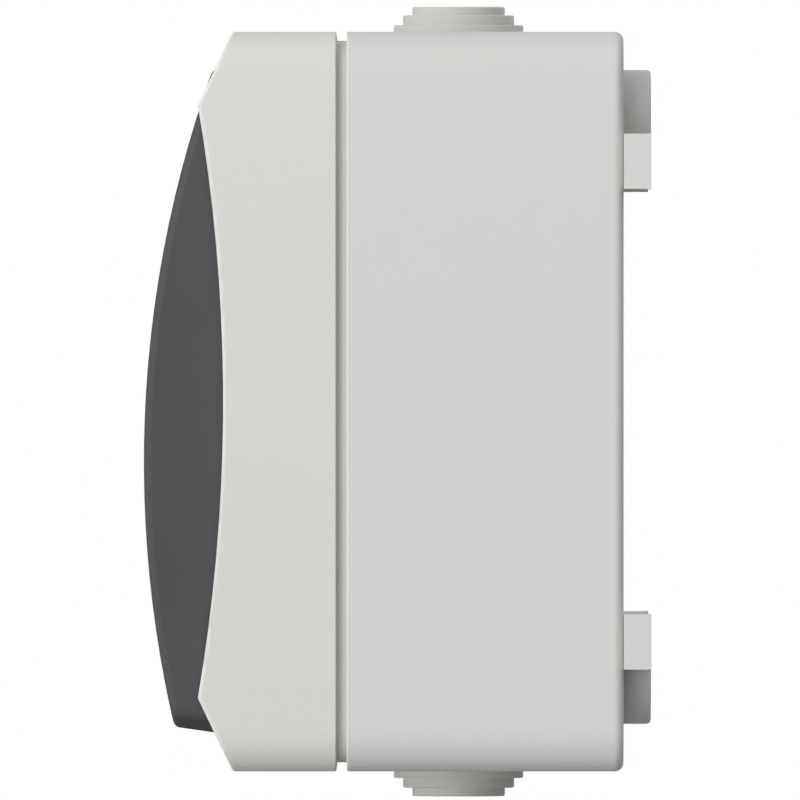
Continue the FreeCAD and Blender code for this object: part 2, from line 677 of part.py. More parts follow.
def mechanism_housing():
    """Insulating block on the pillars, open to the front for the contacts and terminals."""
    plate = slab(MECH_WIDTH, MECH_HEIGHT, MECH_CORNER, MECH_BACK_Y, LUG_Y)
    tall = slab(MECH_CORE_WIDTH, MECH_HEIGHT, INNER_CORNER, MECH_BACK_Y, MECH_FRONT_Y)
    wide = slab(MECH_WIDTH, MECH_CORE_HEIGHT, INNER_CORNER, MECH_BACK_Y, MECH_FRONT_Y)
    body = plate.multiFuse([tall, wide])
    half = CHANNEL_HALF
    cuts = [block(-half, half, MECH_FRONT_Y, TRAVELLER_Y, -MECH_HEIGHT, MECH_HEIGHT),
            block(-half, MECH_WIDTH, MECH_FRONT_Y, COMMON_PLATE_Y, -half, half),
            stem_slot(MECH_FRONT_Y, STEM_END_Y + SKEW)]
    for x, z, plate_y in terminal_places().values():
        depth = plate_y - PLATE_THICKNESS - CLAMP_THICKNESS + TERMINAL_SCREW_LENGTH + LOOSE
        cuts.append(rod(TERMINAL_SCREW_RADIUS + LOOSE, x, z, plate_y, depth))
    for _, x, z in mech_screw_places():
        cuts.append(rod(MECH_SCREW_RADIUS + LOOSE, x, z, MECH_BACK_Y, LUG_Y))
        cuts.append(rod(PILLAR_PIN_RADIUS + FIT, -x, z, MECH_BACK_Y, LUG_Y))
    for side in (-1, 1):
        for up in (-1, 1):
            cuts.append(leg_catch(side, up))
    return body.cut(cuts)


def leg_catch(side, up):
    """The notch in the block that a snap leg's nose drops into."""
    x = side * LUG_X
    half = LEG_WIDTH / 2 + LOOSE
    face = up * MECH_CORE_HEIGHT / 2
    end_y = MECH_FRONT_Y + LEG_LENGTH
    depth = face - up * (LEG_NOSE + LOOSE / 2)
    return block(x - half, x + half, end_y + LOOSE, end_y - LEG_HOOK - FIT, face, depth)


def snap_leg(side, up):
    """A leg of the mechanism cover outside the block, with a nose that hooks inwards."""
    x = side * LUG_X
    half = LEG_WIDTH / 2
    face = up * (MECH_CORE_HEIGHT / 2 + FIT)
    outer = up * (MECH_CORE_HEIGHT / 2 + LEG_THICKNESS)
    end_y = MECH_FRONT_Y + LEG_LENGTH
    leg = block(x - half, x + half, MECH_FRONT_Y, end_y, face, outer)
    return leg.fuse(block(x - half, x + half, end_y - LEG_HOOK, end_y, face, face - up * LEG_NOSE))


def mechanism_cover():
    """Cover plate with barrier ribs, snapped on by four legs, with a slot for the stem."""
    height = MECH_CORE_HEIGHT + 2 * LEG_THICKNESS
    plate = slab(MECH_WIDTH, height, INNER_CORNER, MECH_COVER_Y, MECH_FRONT_Y)
    pieces = [snap_leg(side, up) for side in (-1, 1) for up in (-1, 1)]
    half = CHANNEL_HALF - LOOSE / 2
    rib_y = TRAVELLER_Y - PLATE_THICKNESS - LOOSE
    for up in (-1, 1):
        z = up * BARRIER_Z
        pieces.append(block(-half, half, MECH_FRONT_Y, rib_y, z, z + up * BARRIER_THICKNESS))
    well = TERMINAL_X - max(TERMINAL_HEAD_RADIUS, CLAMP_SIDE / 2) - SKEW
    rib_y = COMMON_PLATE_Y - PLATE_THICKNESS - LOOSE
    pieces.append(block(well - BARRIER_THICKNESS, well, MECH_FRONT_Y, rib_y, -half, half))
    slot = stem_slot(MECH_COVER_Y, MECH_FRONT_Y)
    notch = block(well, MECH_WIDTH, MECH_COVER_Y, MECH_FRONT_Y, -CHANNEL_HALF, CHANNEL_HALF)
    return plate.multiFuse(pieces).cut([slot, notch])


def contact_rocker():
    """Brass seesaw: a strip with a half-round saddle on the knife edge."""
    half = SEESAW_WIDTH / 2
    saddle_radius = GROOVE_RADIUS + SEESAW_THICKNESS
    strip = slab(SEESAW_WIDTH, 2 * SEESAW_ARM, SEESAW_CORNER, STRIP_FRONT_Y, STRIP_BACK_Y)
    saddle = Part.makeCylinder(saddle_radius, SEESAW_WIDTH, V(-half, KNIFE_Y, 0), V(1, 0, 0))
    behind = KNIFE_Y + saddle_radius
    saddle = saddle.cut(block(-half, half, KNIFE_Y, behind, -saddle_radius, saddle_radius))
    groove = Part.makeCylinder(GROOVE_RADIUS, SEESAW_WIDTH, V(-half, KNIFE_Y, 0), V(1, 0, 0))
    holes = [groove]
    for up in (-1, 1):
        holes.append(rod(CONTACT_SHANK + FIT, 0, up * CONTACT_ARM, STRIP_FRONT_Y, STRIP_BACK_Y))
    return about_knife(strip.fuse(saddle).cut(holes))


def moving_contact(up):
    """Domed silver rivet head on the rear of the strip, its shank through the strip."""
    z = up * CONTACT_ARM
    head_y = STRIP_BACK_Y + CONTACT_HEIGHT
    head = rod(CONTACT_RADIUS, 0, z, STRIP_BACK_Y, head_y)
    dome = Part.makeSphere(CONTACT_DOME, V(0, head_y - CONTACT_DOME, z))
    shank = rod(CONTACT_SHANK, 0, z, STRIP_FRONT_Y, STRIP_BACK_Y)
    return about_knife(head.common(dome).fuse(shank))


def fixed_contact(up):
    """Flat silver rivet on a traveller plate."""
    z = up * FIXED_Z
    plate_front = TRAVELLER_Y - PLATE_THICKNESS
    head = rod(FIXED_HEAD_RADIUS, 0, z, FIXED_FACE_Y, plate_front)
    head = head.makeChamfer(FIXED_CHAMFER, edges_in_plane(head, FIXED_FACE_Y))
    return head.fuse(rod(CONTACT_SHANK, 0, z, plate_front, TRAVELLER_Y))


def terminal_places():
    """Each terminal's screw place in x and z, and the level of its plate's rear face."""
    return {"common": (TERMINAL_X, 0.0, COMMON_PLATE_Y),
            "upper": (0.0, TERMINAL_Z, TRAVELLER_Y),
            "lower": (0.0, -TERMINAL_Z, TRAVELLER_Y)}


def traveller_terminal(up):
    """Brass plate from the fixed contact to its screw terminal."""
    z0 = FIXED_Z - FIXED_HEAD_RADIUS
    z1 = MECH_HEIGHT / 2 - LOOSE
    front = TRAVELLER_Y - PLATE_THICKNESS
    plate = slab(PLATE_WIDTH, z1 - z0, PLATE_CORNER, front, TRAVELLER_Y, 0, up * (z0 + z1) / 2)
    holes = [rod(CONTACT_SHANK + FIT, 0, up * FIXED_Z, front, TRAVELLER_Y),
             rod(TERMINAL_SCREW_RADIUS + FIT, 0, up * TERMINAL_Z, front, TRAVELLER_Y)]
    return plate.cut(holes)


def common_terminal():
    """Brass plate with the upright tongue whose rounded edge carries the seesaw."""
    front = COMMON_PLATE_Y - PLATE_THICKNESS
    x0 = -PLATE_WIDTH / 2
    x1 = MECH_WIDTH / 2 - LOOSE
    middle = (x0 + x1) / 2
    plate = slab(x1 - x0, PLATE_WIDTH, PLATE_CORNER, front, COMMON_PLATE_Y, middle, 0)
    half = TONGUE_WIDTH / 2
    tongue = block(-half, half, front, KNIFE_Y, -KNIFE_RADIUS, KNIFE_RADIUS)
    edge = Part.makeCylinder(KNIFE_RADIUS, TONGUE_WIDTH, V(-half, KNIFE_Y, 0), V(1, 0, 0))
    hole = rod(TERMINAL_SCREW_RADIUS + FIT, TERMINAL_X, 0, front, COMMON_PLATE_Y)
    return plate.multiFuse([tongue, edge]).cut(hole).removeSplitter()


def terminal_clamp(x, z, plate_y):
    """Square clamp plate with chamfered front edges."""
    rear = plate_y - PLATE_THICKNESS
    front = rear - CLAMP_THICKNESS
    plate = slab(CLAMP_SIDE, CLAMP_SIDE, CLAMP_CORNER, front, rear, x, z)
    plate = plate.makeChamfer(CLAMP_CHAMFER, edges_in_plane(plate, front))
    return plate.cut(rod(TERMINAL_SCREW_RADIUS + FIT, x, z, front, rear))


def slotted_screw(x, z, seat_y, sizes):
    """Pan head on a seat with a cross slot; sizes are shank radius, length, head radius, height."""
    shank_radius, length, head_radius, head_height = sizes
    top = seat_y - head_height
    head = rod(head_radius, x, z, top, seat_y)
    head = head.makeFillet(HEAD_ROUND_SHARE * head_height, edges_in_plane(head, top))
    shank = rod(shank_radius, x, z, seat_y, seat_y + length)
    tip = TIP_CHAMFER_SHARE * shank_radius
    shank = shank.makeChamfer(tip, edges_in_plane(shank, seat_y + length))
    reach = SLOT_SHARE * head_radius
    half = SLOT_WIDTH / 2
    slot = block(x - reach, x + reach, top, top + SLOT_DEPTH, z - half, z + half)
    cross = block(x - half, x + half, top, top + SLOT_DEPTH, z - reach, z + reach)
    return head.fuse(shank).cut([slot, cross])


def cover_screw_seal(x, z):
    """Soft washer under a cover screw's head."""
    front = FLOOR_FRONT_Y - WASHER_THICKNESS
    disc = rod(WASHER_RADIUS, x, z, front, FLOOR_FRONT_Y)
    return disc.cut(rod(COVER_SCREW_RADIUS + FIT, x, z, front, FLOOR_FRONT_Y))


def cable_gland(up):
    """Stepped soft gland with a closed membrane, clipped into the base's wall."""
    inner = -WALL - GLAND_INNER_FLANGE
    lip = GLAND_NECK_RADIUS + GLAND_INNER_LIP
    points = [(GLAND_BORE_RADIUS, inner), (lip - GLAND_INNER_CHAMFER, inner),
              (lip, inner + GLAND_INNER_CHAMFER), (lip, -WALL),
              (GLAND_NECK_RADIUS, -WALL), (GLAND_NECK_RADIUS, 0)]
    level = 0
    for radius, height in zip(GLAND_STEP_RADII, GLAND_STEP_HEIGHTS):
        points += [(radius, level), (radius, level + height - GLAND_ROUND),
                   (radius - GLAND_ROUND, level + height)]
        level += height
    points += [(0, level), (0, level - GLAND_MEMBRANE),
               (GLAND_BORE_RADIUS, level - GLAND_MEMBRANE)]
    gland = turned(points, 0, 0).rotated(V(0, 0, 0), V(1, 0, 0), up * 90)
    gland.translate(V(0, GLAND_Y, up * HALF_H))
    return gland


def build_parts():
    """All pieces by name."""
    parts = {"base_box": base_box(), "front_cover": front_cover(), "cover_gasket": cover_gasket(),
             "rocker": rocker(), "actuator": actuator(), "rocker_seal": rocker_seal(),
             "seal_ring": seal_ring(), "plunger": plunger(), "plunger_spring": plunger_spring(),
             "mechanism_housing": mechanism_housing(), "mechanism_cover": mechanism_cover(),
             "contact_rocker": contact_rocker(), "common_terminal": common_terminal()}
    for name, up in (("upper", 1), ("lower", -1)):
        parts["moving_contact_" + name] = moving_contact(up)
        parts["fixed_contact_" + name] = fixed_contact(up)
        parts[name + "_terminal"] = traveller_terminal(up)
    for name, up in (("top", 1), ("bottom", -1)):
        parts["cable_gland_" + name] = cable_gland(up)
    screw = (TERMINAL_SCREW_RADIUS, TERMINAL_SCREW_LENGTH, TERMINAL_HEAD_RADIUS, TERMINAL_HEAD)
    for name, (x, z, plate_y) in terminal_places().items():
        seat = plate_y - PLATE_THICKNESS - CLAMP_THICKNESS
        parts["terminal_clamp_" + name] = terminal_clamp(x, z, plate_y)
        parts["terminal_screw_" + name] = slotted_screw(x, z, seat, screw)
    screw = (MECH_SCREW_RADIUS, MECH_SCREW_LENGTH, MECH_HEAD_RADIUS, MECH_HEAD)
    for name, x, z in mech_screw_places():
        parts["mechanism_screw_" + name] = slotted_screw(x, z, LUG_Y, screw)
    screw = (COVER_SCREW_RADIUS, COVER_SCREW_LENGTH, COVER_HEAD_RADIUS, COVER_HEAD)
    for name, x, z in cover_screw_places():
        parts["cover_screw_" + name] = slotted_screw(x, z, FLOOR_FRONT_Y - WASHER_THICKNESS, screw)
        parts["cover_screw_seal_" + name] = cover_screw_seal(x, z)
    return parts


def main():
    os.makedirs("parts", exist_ok=True)
    for name, shape in build_parts().items():
        shape.exportStep("parts/" + name + ".step")
        print(name, shape.isValid(), len(shape.Solids), round(shape.Volume, 2))


main()
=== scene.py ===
import logging
import math
from dataclasses import dataclass, field
from enum import Enum

import bmesh
import bpy
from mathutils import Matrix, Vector


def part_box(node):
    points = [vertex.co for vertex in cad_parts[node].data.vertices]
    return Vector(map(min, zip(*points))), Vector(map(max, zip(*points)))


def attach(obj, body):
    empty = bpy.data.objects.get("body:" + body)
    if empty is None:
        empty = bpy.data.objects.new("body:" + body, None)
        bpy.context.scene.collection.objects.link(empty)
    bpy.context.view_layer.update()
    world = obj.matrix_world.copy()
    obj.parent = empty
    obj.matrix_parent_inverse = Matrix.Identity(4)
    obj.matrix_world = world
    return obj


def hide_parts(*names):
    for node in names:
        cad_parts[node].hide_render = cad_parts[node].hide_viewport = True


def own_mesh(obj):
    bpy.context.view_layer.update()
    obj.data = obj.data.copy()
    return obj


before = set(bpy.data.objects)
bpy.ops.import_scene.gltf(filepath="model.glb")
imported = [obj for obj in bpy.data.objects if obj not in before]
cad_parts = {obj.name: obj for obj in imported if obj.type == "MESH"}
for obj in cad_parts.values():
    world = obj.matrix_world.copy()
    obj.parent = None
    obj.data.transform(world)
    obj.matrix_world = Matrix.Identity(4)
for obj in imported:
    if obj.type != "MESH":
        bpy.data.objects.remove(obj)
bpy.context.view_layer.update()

MM = 0.001
# sRGB runs as a straight line below the knee and as a power curve above it.
SRGB_KNEE = 0.04045
SRGB_SLOPE = 12.92
SRGB_OFFSET = 0.055
SRGB_POWER = 2.4
# Blender's noise seldom leaves this range, so patterns are spread over it.
NOISE_LOW = 0.3
NOISE_HIGH = 0.7
# The sockets of a Mix node that blends colours.
MIX_SHARE = 0
MIX_FIRST = 6
MIX_SECOND = 7
MIX_RESULT = 2
# A thread's profile repeats once a turn and is the same up and down.
HALF_TURN = 0.5
# A sun of this strength lights a white surface that faces it to full white.
SUN_WHITE = math.pi
log = logging.getLogger("weatherproof_switch")

Tree = bpy.types.NodeTree
Node = bpy.types.Node
Socket = bpy.types.NodeSocket
Colour = tuple[float, float, float, float]


def linear(colour: str) -> Colour:
    """Turns an sRGB hex colour into the linear one that Blender takes.

    Args:
        colour: six hex digits after a hash.

    Returns:
        Red, green, blue and an alpha of 1.
    """
    made = []
    for start in (1, 3, 5):
        share = int(colour[start : start + 2], 16) / 255
        if share <= SRGB_KNEE:
            made.append(share / SRGB_SLOPE)
        else:
            made.append(((share + SRGB_OFFSET) / (1 + SRGB_OFFSET)) ** SRGB_POWER)
    return made[0], made[1], made[2], 1.0


def node(tree: Tree, kind: str, inputs: dict | None = None, **settings: object) -> Node:
    """Adds one node with its settings and links.

    Args:
        tree: the shader or geometry tree that gets the node.
        kind: Blender's name of the node's type.
        inputs: input name or number to a plain value, to the socket that feeds it, or to the
            node whose first output feeds it.
        settings: the node's own properties.

    Returns:
        The new node.
    """
    made = tree.nodes.new(kind)
    for name, value in settings.items():
        setattr(made, name, value)
    for name, value in (inputs or {}).items():
        feed = value.outputs[0] if isinstance(value, Node) else value
        if isinstance(feed, Socket):
            tree.links.new(feed, made.inputs[name])
        else:
            made.inputs[name].default_value = feed
    return made


@dataclass(frozen=True)
class Finish:
    """A finish: its name, the record's slot, and how it takes the light.

    The gloss is the strength of the plain reflection, of which 0.5 is usual. The drifts are how
    far roughness and colour wander, and drift_mm is how wide the wandering patches are.
    """

    name: str
    slot: str
    colour: str
    roughness: float
    gloss: float = 0.5
    roughness_drift: float = 0.04
    colour_drift: float = 0.02
    drift_mm: float = 14.0

    def relief(self, tree: Tree, place: Socket) -> tuple[Node, float]:
        """Gives the node of the height pattern and its depth in millimetres."""
        raise NotImplementedError

    def optics(self, shader: Node) -> None:
        """Sets the shader's own sockets that are the same all over."""
        raise NotImplementedError

    def tint(self, tree: Tree, place: Socket) -> Socket:
        """Mixes a slightly darker and a slightly lighter tone of the colour.

        Args:
            tree: the shader tree.
            place: the coordinate, in metres.

        Returns:
            The colour socket.
        """
        base = linear(self.colour)[:3]
        dark = (*(c * (1 - self.colour_drift) for c in base), 1.0)
        light = (*(min(1.0, c * (1 + self.colour_drift)) for c in base), 1.0)
        inputs = {"Vector": place, "Scale": 1 / (self.drift_mm * MM)}
        cloud = node(tree, "ShaderNodeTexNoise", inputs)
        reach = {"Value": cloud, "From Min": NOISE_LOW, "From Max": NOISE_HIGH}
        share = node(tree, "ShaderNodeMapRange", reach)
        tones = {MIX_SHARE: share, MIX_FIRST: dark, MIX_SECOND: light}
        return node(tree, "ShaderNodeMix", tones, data_type="RGBA").outputs[MIX_RESULT]

    def build(self) -> bpy.types.Material:
        """Makes the material with its colour, roughness and relief.

        Returns:
            The material, named for the real one.
        """
        material = bpy.data.materials.new(self.name)
        material.use_nodes = True
        tree = material.node_tree
        tree.nodes.clear()
        place = node(tree, "ShaderNodeTexCoord").outputs["Object"]
        height, depth_mm = self.relief(tree, place)
        raised = {"Height": height, "Distance": depth_mm * MM, "Strength": 1.0}
        bump = node(tree, "ShaderNodeBump", raised)
        reach = {
            "Value": height,
            "From Min": NOISE_LOW,
            "From Max": NOISE_HIGH,
            "To Min": self.roughness - self.roughness_drift,
            "To Max": self.roughness + self.roughness_drift,
        }
        rough = node(tree, "ShaderNodeMapRange", reach)
        inputs = {"Base Color": self.tint(tree, place), "Roughness": rough, "Normal": bump}
        shader = node(tree, "ShaderNodeBsdfPrincipled", inputs)
        self.optics(shader)
        node(tree, "ShaderNodeOutputMaterial", {"Surface": shader})
        return material


@dataclass(frozen=True)
class MouldedPlastic(Finish):
    """Injection moulding from a spark-eroded or polished mould.

    The mould's craters are 0.1 to 0.2 mm across, too fine for the picture. They are drawn about
    0.5 mm across, and shallow, so that they only break up the gloss.
    """

    grain_mm: float = 0.5
    grain_depth_mm: float = 0.004
    grain_detail: float = 3.0
    flow_mm: float = 15.0
    flow_depth_mm: float = 0.005
    ior: float = 1.53
    polish: float = 0.0
    polish_roughness: float = 0.22
    milkiness: float = 0.0
    milk_depth_mm: float = 0.6
    milk_tint: tuple[float, float, float] = (1.0, 0.9, 0.7)

    def relief(self, tree: Tree, place: Socket) -> tuple[Node, float]:
        """Lays the mould's fine craters over the slow waves of the shrunk surface.

        Args:
            tree: the shader tree.
            place: the coordinate, in metres.

        Returns:
            The node of the height pattern and its depth in millimetres.
        """
        inputs = {"Vector": place, "Scale": 1 / (self.grain_mm * MM), "Detail": self.grain_detail}
        grain = node(tree, "ShaderNodeTexNoise", inputs)
        flow = node(tree, "ShaderNodeTexNoise", {"Vector": place, "Scale": 1 / (self.flow_mm * MM)})
        share = self.flow_depth_mm / self.grain_depth_mm
        both = node(tree, "ShaderNodeMath", {0: flow, 1: share, 2: grain}, operation="MULTIPLY_ADD")
        return both, self.grain_depth_mm

    def optics(self, shader: Node) -> None:
        """Gives the plastic its index, its milky depth and the thin polish of handling.

        Args:
            shader: the material's shader node.
        """
        shader.inputs["IOR"].default_value = self.ior
        shader.inputs["Specular IOR Level"].default_value = self.gloss
        shader.inputs["Coat Weight"].default_value = self.polish
        shader.inputs["Coat Roughness"].default_value = self.polish_roughness
        shader.inputs["Subsurface Weight"].default_value = self.milkiness
        shader.inputs["Subsurface Radius"].default_value = self.milk_tint
        shader.inputs["Subsurface Scale"].default_value = self.milk_depth_mm * MM


@dataclass(frozen=True)
class SoftElastomer(Finish):
    """Soft moulded elastomer or rubber, matt, with a velvety rim."""

    grain_mm: float = 0.35
    grain_depth_mm: float = 0.006
    bloom: float = 0.05
    bloom_roughness: float = 0.5
    ior: float = 1.5

    def relief(self, tree: Tree, place: Socket) -> tuple[Node, float]:
        """Gives the pitted skin of soft material released from its mould.

        Args:
            tree: the shader tree.
            place: the coordinate, in metres.

        Returns:
            The node of the height pattern and its depth in millimetres.
        """
        inputs = {"Vector": place, "Scale": 1 / (self.grain_mm * MM)}
        return node(tree, "ShaderNodeTexVoronoi", inputs, feature="SMOOTH_F1"), self.grain_depth_mm

    def optics(self, shader: Node) -> None:
        """Gives the rubber its index and the faint bloom of its surface.

        Args:
            shader: the material's shader node.
        """
        shader.inputs["IOR"].default_value = self.ior
        shader.inputs["Specular IOR Level"].default_value = self.gloss
        shader.inputs["Sheen Weight"].default_value = self.bloom
        shader.inputs["Sheen Roughness"].default_value = self.bloom_roughness


@dataclass(frozen=True)
class WorkedMetal(Finish):
    """Sheet, wire or turned metal with the marks of its working."""

    mark_mm: float = 0.12
    mark_stretch: tuple[float, float, float] = (1.0, 1.0, 0.05)
    mark_depth_mm: float = 0.002
    mark_detail: float = 3.0
    tarnish: str = ""
    tarnish_share: float = 0.0
    tarnish_mm: float = 2.5
    tarnish_detail: float = 4.0

    def relief(self, tree: Tree, place: Socket) -> tuple[Node, float]:
        """Draws rolling, drawing or turning lines along the working direction.

        Args:
            tree: the shader tree.
            place: the coordinate, in metres.

        Returns:
            The node of the height pattern and its depth in millimetres.
        """
        run = node(tree, "ShaderNodeMapping", {"Vector": place, "Scale": self.mark_stretch})
        inputs = {"Vector": run, "Scale": 1 / (self.mark_mm * MM), "Detail": self.mark_detail}
        return node(tree, "ShaderNodeTexNoise", inputs), self.mark_depth_mm

    def tint(self, tree: Tree, place: Socket) -> Socket:
        """Adds uneven tarnish to the metal's own colour.

        Args:
            tree: the shader tree.
            place: the coordinate, in metres.

        Returns:
            The colour socket.
        """
        clean = super().tint(tree, place)
        if not self.tarnish:
            return clean
        scale = 1 / (self.tarnish_mm * MM)
        inputs = {"Vector": place, "Scale": scale, "Detail": self.tarnish_detail}
        cloud = node(tree, "ShaderNodeTexNoise", inputs)
        reach = {"Value": cloud, "From Min": NOISE_LOW, "From Max": NOISE_HIGH}
        patch = node(tree, "ShaderNodeMapRange", {**reach, "To Max": self.tarnish_share})
        tones = {MIX_SHARE: patch, MIX_FIRST: clean, MIX_SECOND: linear(self.tarnish)}
        return node(tree, "ShaderNodeMix", tones, data_type="RGBA").outputs[MIX_RESULT]

    def optics(self, shader: Node) -> None:
        """Makes it a metal, with the default index."""
        shader.inputs["Metallic"].default_value = 1.0


# Light grey ABS from a finely eroded mould: even and matt, with hardly any visible grain. The
# cover's colour is set a touch warmer and lighter than the base's. This is painted light: it stands
# in for the cover's side catching more light than the base's side.
COVER_ABS_PAINTED_LIGHTER = MouldedPlastic(
    "abs_light_grey_cover_painted_lighter", "body_plastic", "#DCDDD8", 0.80, gloss=0.20, colour_drift=0.004
)
BASE_ABS = MouldedPlastic(
    "abs_light_grey_base", "body_plastic", "#D8D9D6", 0.80, gloss=0.20, colour_drift=0.004
)
# Dark grey ABS of the rocker: as matt as the box, with the trace of polish that fingers leave.
ROCKER_ABS = MouldedPlastic(
    "abs_dark_grey", "rocker_plastic", "#545356", 0.90, gloss=0.0, colour_drift=0.03, polish=0.03
)
# Thermoplastic elastomer of the gasket and the cable glands: dull, darker than the box.
GASKET_TPE = SoftElastomer(
    "tpe_light_grey_gasket", "gasket_elastomer", "#D0D0CB", 0.85, gloss=0.15
)
GLAND_TPE = SoftElastomer("tpe_light_grey_gland", "gland_elastomer", "#D3D3CF", 0.85, gloss=0.15)
# EPDM rubber of the boot and the sealing washers: deep black, matt.
BOOT_EPDM = SoftElastomer("epdm_black", "boot_rubber", "#1E1E1F", 0.66, colour_drift=0.08)
# Natural nylon: polished mould, milky, slightly yellow.
NYLON = MouldedPlastic(
    "nylon_natural", "nylon_natural", "#E6E0CC", 0.30, grain_depth_mm=0.002, milkiness=0.25
)
# Glass-filled insulating moulding: white, a little coarser than ABS because of the fibres.
INSULATOR = MouldedPlastic(
    "pbt_glass_filled_white",
    "insulator_plastic",
    "#DEDDD8",
    0.48,
    grain_mm=0.7,
    grain_depth_mm=0.006,
)
# Stamped brass strip: rolling lines along the strip and light tarnish.
BRASS = WorkedMetal("brass_strip", "brass", "#D9BC74", 0.28, tarnish="#9C7B3E", tarnish_share=0.35)
# Silver-nickel contact rivets: cold headed, bright, with a faint yellow sulphide film.
SILVER = WorkedMetal(
    "silver_nickel",
    "silver_alloy",
    "#E9E6DF",
    0.22,
    mark_stretch=(1.0, 1.0, 1.0),
    tarnish="#BFAF8C",
    tarnish_share=0.2,
)
# Patented drawn spring wire: fine lines, a little darker than plating.
SPRING_WIRE = WorkedMetal(
    "spring_wire", "spring_steel", "#9C9DA1", 0.30, mark_stretch=(1.0, 0.3, 1.0)
)
# Zinc plating with blue passivation on cold-headed steel: bright with cloudy patches.
ZINC = WorkedMetal(
    "zinc_blue_passivated",
    "zinc_plated_steel",
    "#C4C9CE",
    0.27,
    mark_stretch=(1.0, 0.1, 1.0),
    tarnish="#A3A8B4",
    tarnish_share=0.5,
)


@dataclass
class Wardrobe:
    """Makes each material once and hands it out."""

    made: dict[str, bpy.types.Material] = field(default_factory=dict)

    def of(self, finish: Finish) -> bpy.types.Material:
        """Hands out the finish's material, made on first use.

        Args:
            finish: the finish that a piece wears.

        Returns:
            The one material of that name.
        """
        if finish.name not in self.made:
            self.made[finish.name] = finish.build()
        return self.made[finish.name]


@dataclass
class SubAssembly:
    """A group of pieces that do one job. The CAD frame holds their meshes."""

    wardrobe: Wardrobe

    def finishes(self) -> dict[str, Finish]:
        """Names the finish of each piece that keeps its CAD mesh."""
        raise NotImplementedError

    def dress(self) -> None:
        """Gives every piece that keeps its CAD mesh its finish."""
        for name, finish in self.finishes().items():
            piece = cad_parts[name]
            piece.data.materials.clear()
            piece.data.materials.append(self.wardrobe.of(finish))
            log.info("%s: %s", name, finish.name)

    def build(self) -> None:
        """Makes the meshes that the CAD leaves out, here none, and dresses the group."""
        self.dress()


@dataclass
class Enclosure(SubAssembly):
    """The box's two mouldings and the gasket that shows in their seam."""

    base: Finish = BASE_ABS
    cover: Finish = COVER_ABS_PAINTED_LIGHTER
    gasket: Finish = GASKET_TPE

    def finishes(self) -> dict[str, Finish]:
        """Names the finish of each of the three pieces."""
        return {"base_box": self.base, "front_cover": self.cover, "cover_gasket": self.gasket}


@dataclass
class RockerGroup(SubAssembly):
    """The rocker with what it carries, and the seals behind it."""

    shell: Finish = ROCKER_ABS
    carrier: Finish = NYLON
    seal: Finish = BOOT_EPDM
    wire: Finish = SPRING_WIRE

    def finishes(self) -> dict[str, Finish]:
        """Names the finish of each of the seven pieces that keep their CAD mesh.

        Returns:
            Piece name to finish.
        """
        seals = ("rocker_seal", "cover_screw_seal_top", "cover_screw_seal_bottom")
        found: dict[str, Finish] = {"rocker": self.shell}
        found |= dict.fromkeys(("actuator", "plunger", "seal_ring"), self.carrier)
        found |= dict.fromkeys(seals, self.seal)
        return found

    def coil(self) -> bpy.types.Object:
        """Makes a copy of the plunger's spring and hangs it on the rocker's body.

        Returns:
            The copied spring, dressed in its wire finish.
        """
        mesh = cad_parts["plunger_spring"].data.copy()
        mesh.name = "plunger_spring_coil"
        mesh.materials.clear()
        mesh.materials.append(self.wardrobe.of(self.wire))
        made = bpy.data.objects.new(mesh.name, mesh)
        bpy.context.scene.collection.objects.link(made)
        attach(made, "rocker")
        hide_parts("plunger_spring")
        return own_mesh(made)

    def build(self) -> None:
        """Dresses the group and makes the spring."""
        self.dress()
        made = self.coil()
        log.info("%s: %d faces, %s", made.name, len(made.data.polygons), self.wire.name)


@dataclass
class Mechanism(SubAssembly):
    """The insulating block with its plates, contacts and clamps."""

    block: Finish = INSULATOR
    strip: Finish = BRASS
    contact: Finish = SILVER
    clamp: Finish = ZINC
    poles: tuple[str, ...] = ("common", "upper", "lower")

    def finishes(self) -> dict[str, Finish]:
        """Names the finish of each of the thirteen pieces.

        Returns:
            Piece name to finish.
        """
        found = dict.fromkeys(("mechanism_housing", "mechanism_cover"), self.block)
        found["contact_rocker"] = self.strip
        for pole in self.poles:
            found[pole + "_terminal"] = self.strip
            found["terminal_clamp_" + pole] = self.clamp
        for end in ("upper", "lower"):
            found["moving_contact_" + end] = self.contact
            found["fixed_contact_" + end] = self.contact
        return found


@dataclass
class CableEntries(SubAssembly):
    """The two stepped glands."""

    gland: Finish = GLAND_TPE

    def finishes(self) -> dict[str, Finish]:
        """Names the finish of both glands."""
        return {"cable_gland_top": self.gland, "cable_gland_bottom": self.gland}


class ThreadForm(Enum):
    """The kind of thread, as the share of the pitch that is flat root."""

    MACHINE = 0.12
    THREAD_FORMING = 0.5


@dataclass(frozen=True)
class ScrewSize:
    """A screw's sizes in millimetres. Its outline comes from its CAD piece."""

    head_height: float
    thread_radius: float
    core_radius: float
    pitch: float
    tip_length: float
    form: ThreadForm


COVER_SCREW = ScrewSize(1.8, 1.45, 1.05, 1.1, 1.2, ThreadForm.THREAD_FORMING)
MECHANISM_SCREW = ScrewSize(1.6, 1.40, 1.0, 1.0, 1.0, ThreadForm.THREAD_FORMING)
TERMINAL_SCREW = ScrewSize(1.8, 1.75, 1.42, 0.6, 0.4, ThreadForm.MACHINE)


